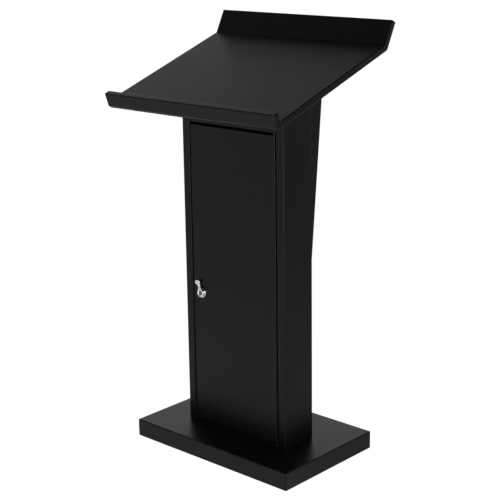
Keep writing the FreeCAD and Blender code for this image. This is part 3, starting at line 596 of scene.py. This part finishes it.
def top_rail():
    """Rail above the door, with a flange backwards over the door and a lip up, cut to the slope."""
    rear = COLUMN_FRONT + RAIL_FLANGE
    path = [(COLUMN_FRONT, ABOVE_TOP), (COLUMN_FRONT, RAIL_LOW), (rear, RAIL_LOW), (rear, RAIL_LOW + RAIL_LIP)]
    return sheet(path, -STILE_INNER, STILE_INNER, SIDE, trim=below_top)


def cabinet_floor():
    """Floor with a flange up the rear panel."""
    front_gap, side_gap, flange = 1.4, 0.5, 16.0
    path = [(COLUMN_FRONT + front_gap, BASE_TOP), (WALL_REAR, BASE_TOP), (WALL_REAR, BASE_TOP + flange)]
    return sheet(path, side_gap - STILE_INNER, STILE_INNER - side_gap, SIDE)


def shelf(top):
    """Tray upside down with flanges at the front and rear."""
    rear, low = WALL_REAR - SHEET - 0.5, top - SHELF_DEEP
    path = [(rear, low), (rear, top), (SHELF_FRONT, top), (SHELF_FRONT, low)]
    return sheet(path, -SHELF_HALF, SHELF_HALF, SIDE)


def clip(top, front):
    """Small angle on the side wall under a shelf."""
    wall, seat = COLUMN_HALF - SHEET, top - SHEET
    path = [(wall, seat - CLIP_HIGH), (wall, seat), (wall - CLIP_WIDE, seat)]
    return sheet(path, front, front + CLIP_LONG, FRONT)


rear_corners = rectangle(-COLUMN_HALF, COLUMN_HALF, WALL_REAR, COLUMN_REAR)
clips = [clip(top, front) for top in SHELF_TOPS for front in CLIP_FRONTS]

steelwork("right_side_panel_sheet", [side_wall()])
steelwork("left_side_panel_sheet", [mirrored(side_wall())])
steelwork("rear_panel_sheet", [swept(rear_corners, BASE_TOP, to_the_slope, PLAN)])
steelwork("top_rail_sheet", [top_rail()])
steelwork("cabinet_floor_sheet", [cabinet_floor()])
steelwork("lower_shelf_sheet", [shelf(SHELF_TOPS[0])])
steelwork("upper_shelf_sheet", [shelf(SHELF_TOPS[1])])
steelwork("shelf_clips_sheet", clips + [mirrored(part) for part in clips])

bolt_places = [(x, BASE_MIDDLE + y) for x in (-95.0, 95.0) for y in (-30.0, 22.0)]
bolt_flats, nut_high, washer_thick = 13.0, 6.5, 1.6
bolt = raised(hex_bolt(bolt_flats, 5.3, 4.0, 21.1), FLOOR_TOP + washer_thick)
washer = flat_washer(4.3, 8.0, FLOOR_TOP, FLOOR_TOP + washer_thick)
nut = raised(hex_head(bolt_flats, nut_high, 4.1, both=True), BASE_TOP - 2 * BASE_SHEET - nut_high)
piece("column_bolts_hex", [turned(bolt, place + (0,), UP, flats=bolt_flats) for place in bolt_places],
      "zinc_steel", edge=0.15)
piece("column_washers_round", [turned(washer, place + (0,), UP, closed=True) for place in bolt_places],
      "zinc_steel")
piece("column_nuts_hex", [turned(nut, place + (0,), UP, flats=bolt_flats, closed=True) for place in bolt_places],
      "zinc_steel", edge=0.15)


# ---- reading top --------------------------------------------------------------------------------
def reading_top():
    """Section through the lip, the sloping plate and the screen, carried from side to side."""
    rear_fold = TOP_THICK * math.tan((SCREEN_SLOPE - SLOPE) / 2)
    corners = [on_top(-TOP_THICK, -TOP_THICK), on_top(TOP_LONG + rear_fold, -TOP_THICK),
               on_screen(SCREEN_HIGH, TOP_THICK), on_screen(SCREEN_HIGH, 0), on_top(TOP_LONG, 0), on_top(0, 0),
               on_top(0, LIP_HIGH), on_top(-TOP_THICK, LIP_HIGH)]
    radii = [7.0, 4.0, 3.0, 3.0, 2.0, 1.5, 3.0, 3.0]
    end_round = 3.0
    return block(corners, radii, -TOP_HALF, TOP_HALF, SIDE, end_round, end_round)


def underside_cover():
    """Flat cover under the plate, set in from the top's edges."""
    front, rear = COVER_INSET - TOP_THICK, TOP_LONG + COVER_INSET
    corners = [on_top(front, UNDER_COVER), on_top(rear, UNDER_COVER), on_top(rear, -TOP_THICK),
               on_top(front, -TOP_THICK)]
    return swept(np.array(corners), COVER_INSET - TOP_HALF, TOP_HALF - COVER_INSET, SIDE)


def cover_screw(x, along):
    """Low button head with a socket, against the cover."""
    socket, head, shank, shank_end = 1.3, 3.8, 1.9, -1.5
    profile = [(0, 0.7), (socket, 0.7), (socket, 1.8), (2.2, 1.75), (3.1, 1.4), (head - 0.2, 0.8), (head, 0),
               (shank, 0), (shank, shank_end), (0, shank_end)]
    down = (0, math.sin(SLOPE), -math.cos(SLOPE))
    return turned(profile, (x,) + on_top(along, UNDER_COVER), down, 24)


end_rows = [(x, along) for x in (-200.0, 0.0, 200.0) for along in (-10.0, TOP_LONG - 5.0)]
side_rows = [(x, along) for x in (-291.0, 291.0) for along in (90.0, 330.0)]
steelwork("reading_top_sheet", [reading_top()], edge=0)
steelwork("top_underside_cover_sheet", [underside_cover()])
piece("top_cover_screws_button", [cover_screw(*place) for place in end_rows + side_rows], "black_screw")

# ---- rear brace ---------------------------------------------------------------------------------
brace_rear, brace_corner, brace_edge = COLUMN_REAR + BRACE_REACH, 0.3, 1.6
brace_corners = [(COLUMN_REAR, BRACE_FOOT), (brace_rear, under_top(brace_rear)),
                 (COLUMN_REAR, under_top(COLUMN_REAR))]
brace = block(brace_corners, brace_corner, -COLUMN_HALF, COLUMN_HALF, SIDE, brace_edge, brace_edge)
small_flats = 10.0
small_bolt = hex_bolt(small_flats, 4.0, 3.0, 9.5)
brace_places = [(x, WALL_REAR, z) for x in (-157.0, 157.0) for z in (690.0, 800.0, 910.0)]
steelwork("rear_brace_sheet", [brace], edge=0)
piece("brace_bolts_hex", [turned(small_bolt, place, OUT, flats=small_flats) for place in brace_places],
      "zinc_steel", edge=0.12)


# ---- pivots and stops ---------------------------------------------------------------------------
PAD_GAP, PAD_HIGH, STOP_FRONT = 0.4, 14.0, DOOR_REAR + 2.4


def pivot_pin():
    """Pin down through the rail into the door, with a chamfered tip and a low head on the rail."""
    radius, head, tip, seat = 2.0, 2.8, DOOR_HIGH - 8.0, RAIL_LOW + SHEET + 0.5
    profile = [(0, tip), (radius - 0.4, tip), (radius, tip + 0.4), (radius, seat), (head, seat),
               (head, seat + 1.4), (head - 0.5, seat + 1.9), (0, seat + 2.0)]
    return turned(profile, PIVOT + (0,), UP, 32)


def pivot_stud():
    """Stud up from the base into the door, with a thin collar on the cabinet's floor."""
    radius, collar, foot_end, tip = 2.0, 3.6, BASE_TOP - 2.0, DOOR_LOW + 8.0
    profile = [(0, foot_end), (radius, foot_end), (radius, FLOOR_TOP), (collar - 0.1, FLOOR_TOP),
               (collar, FLOOR_TOP + 0.1), (collar, FLOOR_TOP + 0.5), (collar - 0.1, FLOOR_TOP + 0.6),
               (radius, FLOOR_TOP + 0.6), (radius, tip - 0.4), (radius - 0.4, tip), (0, tip)]
    return turned(profile, PIVOT + (0,), UP, 32)


def stop_pad(low):
    """Rubber block on a stop, just behind the door."""
    high, corner, front_ease, rear_ease = low + PAD_HIGH, 1.5, 0.8, 0.1
    return block(rectangle(-135.0, -115.0, low, high), corner, DOOR_REAR + PAD_GAP, STOP_FRONT, FRONT,
                 front_ease, rear_ease)


rail_rear = COLUMN_FRONT + RAIL_FLANGE
upper_stop = [(rail_rear, RAIL_LOW), (STOP_FRONT, RAIL_LOW), (STOP_FRONT, DOOR_HIGH - 16)]
lower_stop = [(STOP_FRONT, DOOR_LOW + 18), (STOP_FRONT, FLOOR_TOP), (STOP_FRONT + 14, FLOOR_TOP)]
piece("upper_pivot_pin_turned", [pivot_pin()], "black_screw")
piece("lower_pivot_stud_turned", [pivot_stud()], "black_screw")
steelwork("door_stops_sheet", [sheet(path, -137.0, -113.0, SIDE) for path in (upper_stop, lower_stop)])
piece("stop_pads_moulded", [stop_pad(DOOR_HIGH - PAD_HIGH), stop_pad(DOOR_LOW + 2)], "rubber")


# ---- door ---------------------------------------------------------------------------------------
def door_pan():
    """Pan with four returns, as rings of a rectangle from the skin back to the lips and forward again
    inside. A ring is (half width, inset from the top and bottom edges, distance behind the skin). The
    quarter rounds are the bends: outside, the bend radius and the sheet's thickness; inside, the bend
    radius."""
    corner, step = 0.8, 0.05
    bend, wide, inside, deep = BEND + SHEET, DOOR_HALF, DOOR_HALF - SHEET, DOOR_DEPTH
    turn = np.linspace(0, math.pi / 2, 7)
    over, round_off, none = 1 - np.sin(turn), 1 - np.cos(turn), 0 * turn
    front = np.column_stack([wide - bend * over, bend * over, bend * round_off])
    rear = np.column_stack([wide - bend * round_off, none, deep - bend * over])
    lip = [(wide - DOOR_LIP, SHEET, deep), (wide - DOOR_LIP, SHEET, deep - SHEET)]
    back = np.column_stack([inside - BEND * over, SHEET + none, deep - SHEET - step - BEND * round_off])
    skin = np.column_stack([inside - BEND * round_off, SHEET + BEND * round_off, SHEET + BEND * over])
    rings = []
    for half, inset, behind in np.vstack([front, rear, lip, back, skin]):
        ring = rounded(rectangle(-half, half, DOOR_LOW + inset, DOOR_HIGH - inset), corner, 3)
        rings.append(np.column_stack([ring, np.full(len(ring), COLUMN_FRONT + behind)])[:, FRONT])
    return lofted(rings)


def stiffener():
    """Hat section up the back of the door's skin."""
    flange, crown, front, low, high = 45.0, 25.0, COLUMN_FRONT + SHEET, 90.0, 870.0
    rear = front + 11.0
    path = [(-flange, front), (-crown, front), (-crown, rear), (crown, rear), (crown, front), (flange, front)]
    return sheet(path, low, high, PLAN)


def bush(seat, way):
    """Flanged bush: a collar outside the door's return, which is above the seat where the way is 1 and
    below it where it is -1, and a sleeve through the return."""
    bore, sleeve, collar, thick, inward, chamfer = 2.05, 2.9, 3.6, 1.0, SHEET + 1.0, 0.2
    profile = [(bore, -inward), (sleeve, -inward), (sleeve, 0), (collar, 0), (collar, thick - chamfer),
               (collar - chamfer, thick), (bore, thick)]
    profile = [(radius, seat + way * along) for radius, along in profile]
    return turned(profile, PIVOT + (0,), UP, 32, closed=True)


steelwork("door_panel_sheet", [door_pan()], "door", edge=0)
steelwork("door_stiffener_sheet", [stiffener()], "door")
piece("door_upper_bush_moulded", [bush(DOOR_HIGH, 1)], "nylon", "door")
piece("door_lower_bush_moulded", [bush(DOOR_LOW, -1)], "nylon", "door")

# ---- lock, as distances in front of the door's face -----------------------------------------------
HUB, HUB_FACE, HUB_REAR = 11.8, 8.5, 2.9
DISH, DISH_FLOOR = 8.4, 7.1
PLUG, PLUG_SEAT, PLUG_FACE = 6.0, 4.0, 8.1
SPINDLE, SPINDLE_END = 5.0, -28.0
CAM_HALF, CAM_LONG, CAM_BEHIND, CAM_THICK = 8.0, 44.0, 21.0, 2.5


def lock_body():
    """Rosette with a rounded edge and a step inside it, and behind it a threaded barrel."""
    bore, barrel, barrel_end, rosette, face, edge = SPINDLE + 0.05, 9.5, -19.5, 14.5, 2.6, 1.5
    thread_deep, thread_first, half_pitch, step_edge, step_deep = 0.35, -6.0, 0.5, 12.4, 0.4
    core = barrel - thread_deep
    thread = [(barrel - thread_deep * (turn % 2), thread_first - half_pitch * turn) for turn in range(26)]
    profile = [(bore, barrel_end), (core - 0.15, barrel_end), (core, barrel_end + 0.2)] + thread[::-1]
    profile += [(barrel, thread_first + 0.5), (barrel, 0), (rosette - 0.2, 0), (rosette, 0.2)]
    profile += arc(rosette - edge, face - edge, edge, 90, 0, 6)
    profile += [(step_edge + 0.2, face), (step_edge, face - step_deep), (bore, face - step_deep)]
    return turned(profile, LOCK, OUT, 64, closed=True)


def hub():
    """Dished disc with a bore for the plug, a rounded rim, a groove round its side, and the spindle."""
    bore, edge, inner, outer = PLUG + 0.05, 0.2, 0.8, 1.2
    groove, groove_front, groove_rear, bevel = HUB - 0.3, 4.9, 3.8, 0.3
    profile = [(0, PLUG_SEAT), (bore, PLUG_SEAT), (bore, DISH_FLOOR - edge), (bore + edge, DISH_FLOOR),
               (DISH - edge, DISH_FLOOR), (DISH, DISH_FLOOR + edge)]
    profile += arc(DISH + inner, HUB_FACE - inner, inner, -90, 0, 5)
    profile += arc(HUB - outer, HUB_FACE - outer, outer, 0, 90, 6)
    profile += [(HUB, groove_front), (groove, groove_front - bevel), (groove, groove_rear + bevel),
                (HUB, groove_rear), (HUB, HUB_REAR + bevel), (HUB - bevel, HUB_REAR), (SPINDLE, HUB_REAR),
                (SPINDLE, SPINDLE_END + 0.4), (SPINDLE - 0.4, SPINDLE_END), (0, SPINDLE_END)]
    return turned(profile, LOCK, OUT, 64)


def lever_arm():
    """Arm from the hub to the thumb piece, as sections across it. Half the width is the neck's, which
    narrows away from the hub, joined to a rounded thumb piece by the sixth root of the sum of their
    sixth powers. Each section is a rounded oblong: cosine and sine to the power two thirds. It steps out
    from the door as it reaches the thumb piece, whose front is hollowed by one minus the square of the
    distance from its middle line."""
    root, thumb, reach, tilt = 7.0, 31.3, 6.0, 17.8
    neck_half, root_spread, neck_end, neck_reach = 4.0, 6.0, 22.0, 15.0
    thumb_half, thumb_power, joining, tip_half = 9.1, 2.6, 6, 0.05
    step_before, step_long, dish_deep = 10.0, 7.0, 0.9
    share = np.sin(np.linspace(0, math.pi / 2, 40))[:, None]
    along = root + (thumb + reach - root) * share
    past = np.clip((along - thumb) / reach, -1, 1)
    swell = (1 - np.abs(past) ** thumb_power) ** (1 / thumb_power)
    rise = np.clip((along - thumb + step_before) / step_long, 0, 1)
    rise = rise * rise * (3 - 2 * rise)
    neck = neck_half + root_spread * np.clip((neck_end - along) / neck_reach, 0, 1) ** 2
    neck = neck * np.where(past > 0, swell, 1)
    half = (neck ** joining + (thumb_half * swell) ** joining) ** (1 / joining)
    half = half * np.where(past > 0.995, tip_half, 1)
    front, rear = 7.5 + 2.8 * rise, 3.5 + 1.2 * rise
    deep = (front - rear) / 2 * np.where(past > 0, 0.25 + 0.75 * swell, 1)
    angle = np.linspace(0, 2 * math.pi, 40, endpoint=False)[None, :]
    sideways = np.sign(np.cos(angle)) * np.abs(np.cos(angle)) ** (2 / 3)
    outward = np.sign(np.sin(angle)) * np.abs(np.sin(angle)) ** (2 / 3)
    dish = dish_deep * rise * (1 - sideways ** 2) * np.clip(outward, 0, 1) * (1 - np.abs(past))
    forward = (front + rear) / 2 + deep * outward - dish
    points, faces = lofted(np.stack([half * sideways, -forward, along + 0 * angle], -1))
    turn = np.array(Matrix.Rotation(math.radians(-tilt), 3, "Y"))
    return points @ turn.T + LOCK, faces


def plug():
    """Round plug with a keyway: circles down its side and over its edge, then the keyway's outline,
    where the radius is the nearer of the slot's two pairs of walls, down to the keyway's end."""
    half_wide, half_high, keyway_deep, chamfer, edge = 0.8, 3.6, 2.5, 0.35, 0.5
    angle = np.linspace(0, 2 * math.pi, 96, endpoint=False)
    across, upward = np.cos(angle), np.sin(angle)
    slot = np.minimum(half_wide / np.maximum(np.abs(across), 1e-6), half_high / np.maximum(np.abs(upward), 1e-6))
    rings = [(PLUG, PLUG_SEAT + 0.3), (PLUG, PLUG_FACE - edge)]
    rings += [(PLUG - inset, PLUG_FACE - depth) for inset, depth in ease(edge, 4)[::-1]]
    rings += [(slot + chamfer, PLUG_FACE), (slot, PLUG_FACE - 0.3), (slot, PLUG_FACE - keyway_deep)]
    return lofted([np.column_stack([LOCK[0] + radius * across, LOCK[1] - forward + 0 * angle,
                                    LOCK[2] + radius * upward]) for radius, forward in rings])


lock_washer = flat_washer(9.7, 14.0, -2.5, -1.5)
lock_nut = raised(hex_head(24.0, 4.0, 9.6, both=True), -6.5)
cam_nut = raised(hex_head(14.0, 3.5, 5.0, both=True), -27.0)
cam_corners = rectangle(LOCK[0] - CAM_HALF, LOCK[0] + CAM_HALF, LOCK[2] - CAM_HALF, LOCK[2] + CAM_LONG)
cam_front = COLUMN_FRONT + CAM_BEHIND
cam_radii, cam_ease = [7.5, 7.5, 3.0, 3.0], 0.3
cam = block(cam_corners, cam_radii, cam_front, cam_front + CAM_THICK, FRONT, cam_ease, cam_ease)

piece("lock_body_turned", [lock_body()], "lock_chrome", "door")
piece("lock_washer_round", [turned(lock_washer, LOCK, OUT, closed=True)], "zinc_steel", "door")
piece("lock_nut_hex", [turned(lock_nut, LOCK, OUT, 96, 24.0, closed=True)], "zinc_steel", "door", 0.15)
piece("lever_handle_turned", [hub(), lever_arm()], "lock_chrome", "lever")
piece("key_plug_turned", [plug()], "plug_nickel", "key")
piece("lock_cam_flat", [cam], "zinc_steel", "lever")
piece("cam_nut_hex", [turned(cam_nut, LOCK, OUT, flats=14.0, closed=True)], "zinc_steel", "lever", 0.12)

# ---- the nodes that stay as they are --------------------------------------------------------------
slots = {row["node"]: row["material_slot"] for row in frame["record"]["subparts"]}
for node, shown in frame["nodes"].items():
    if not shown.hide_render:
        shown.data.materials.clear()
        shown.data.materials.append(FINISHES[slots[node]])


# ---- floor, light and camera ----------------------------------------------------------------------
def studio_ground():
    """Pale ground that glows as well as being lit. It is even where the camera sees it. As a mirror
    image it falls off to the right and left of the lectern, and dips close round the base in a painted
    shadow of the lectern: each glow or dip is a ramp over the distance along one of two directions, or
    from the middle, in metres."""
    paint = Paint("studio_ground")
    aside, ahead = paint.along((0.736, 0.677, 0.0)), paint.along((-0.677, 0.736, 0.0))
    from_middle = paint.vector("LENGTH", paint.vector("MULTIPLY", paint.place, (0.72, 1.0, 0.0), "Vector"))
    near, close = 1.0 - ahead.size().ramp(1.0, 1.2), 1.0 - from_middle.ramp(0.15, 0.4)
    right = aside.ramp(0.05, 0.35) * 0.30 + aside.ramp(0.9, 2.8) * 0.30
    left = (aside * -1.0).ramp(0.5, 1.2) * 0.18
    # the dip close round the base is a painted shadow of the lectern, seen only in reflections of the ground
    glow = paint.blend(0.70 - near * (right + left) - close * close * 0.15, grey(0.0), grey(1.0))
    seen = paint.node("ShaderNodeLightPath", output="Is Camera Ray")
    return paint.set(Base_Color=grey(0.40), Roughness=0.9, Specular_IOR_Level=0.0,
                     Emission_Color=paint.blend(seen, glow, grey(0.95)), Emission_Strength=1.0)


def studio_world():
    """White where the camera sees it. As light it is a pale wall, brightest low down at the far left,
    under a dark ceiling."""
    world = bpy.data.worlds.new("studio")
    world.use_nodes = True
    bpy.context.scene.world = world
    paint = Paint("studio", world)
    height = paint.along((0.0, 0.0, 1.0))
    aside, front = paint.along((-0.72, 0.69, 0.0)), paint.along((-0.68, -0.73, 0.0))
    stops = [(0.0, grey(1.30)), (0.28, grey(1.40)), (0.46, grey(0.58)), (0.60, grey(0.48)), (0.74, grey(0.20))]
    wall = paint.node("ShaderNodeValToRGB", {"stops": stops}, {0: height})
    low = (1.0 - height * 3.5).least(0.0).most(1.0) * front.ramp(0.3, 0.5)
    far = ((aside * 0.92 + 0.10).least(0.08) + low * 0.45).most(0.95)
    seen = paint.node("ShaderNodeLightPath", output="Is Camera Ray")
    colour = paint.blend(seen, paint.blend(far, grey(0.0), wall), grey(1.0))
    paint.give(world.node_tree.nodes["Background"].inputs["Color"], colour)


def flat_floor(name, half, finish):
    """Flat square sheet on the ground of the studio, with half its side in metres."""
    mesh = bpy.data.meshes.new(name)
    corners = [(-half, -half, 0), (half, -half, 0), (half, half, 0), (-half, half, 0)]
    mesh.from_pydata(corners, [], [(0, 1, 2, 3)])
    mesh.materials.append(finish)
    made = bpy.data.objects.new(name, mesh)
    bpy.context.scene.collection.objects.link(made)


def soft_light(name, place, target, width, height, radiance):
    """Rectangular softbox that faces a point: its power is its radiance times pi times its area."""
    light = bpy.data.lights.new(name, "AREA")
    light.shape, light.size, light.size_y = "RECTANGLE", width, height
    light.energy = radiance * math.pi * width * height
    made = bpy.data.objects.new(name, light)
    made.location = place
    made.rotation_euler = (Vector(target) - Vector(place)).to_track_quat("-Z", "Y").to_euler()
    made.visible_camera = False
    bpy.context.scene.collection.objects.link(made)


def camera(azimuth, elevation, roll, distance, target, lens, shift):
    """Camera at a distance from a target, with its own frame worked out from the three angles."""
    az, el, ro = (math.radians(angle) for angle in (azimuth, elevation, roll))
    back = Vector((math.sin(az) * math.cos(el), -math.cos(az) * math.cos(el), math.sin(el)))
    right = Vector(UP).cross(back).normalized()
    above = back.cross(right)
    across = right * math.cos(ro) + above * math.sin(ro)
    upward = above * math.cos(ro) - right * math.sin(ro)
    data = bpy.data.cameras.new("camera")
    data.sensor_width, data.lens, data.clip_end = 36.0, lens, 200.0
    data.shift_x, data.shift_y = shift
    made = bpy.data.objects.new("camera", data)
    turn = Matrix((across, upward, back)).transposed().to_4x4()
    made.matrix_world = Matrix.Translation(Vector(target) + back * distance) @ turn
    bpy.context.scene.collection.objects.link(made)
    bpy.context.scene.camera = made


flat_floor("studio_floor", 40.0, studio_ground())
soft_light("front_softbox", place=(3.6, -2.6, 2.3), target=(0.0, 0.0, 0.6),
           width=1.6, height=1.8, radiance=1.0)
soft_light("edge_softbox", place=(2.05, -1.45, 0.85), target=(0.0, 0.0, 0.75),
           width=0.8, height=1.65, radiance=8.0)
studio_world()
camera(azimuth=42.642, elevation=14.523, roll=-0.861, distance=3.45723, target=(-0.016544, -0.0017, 0.612361),
       lens=91.34, shift=(0.00893, -0.03653))
bpy.context.scene.view_settings.view_transform = "Standard"
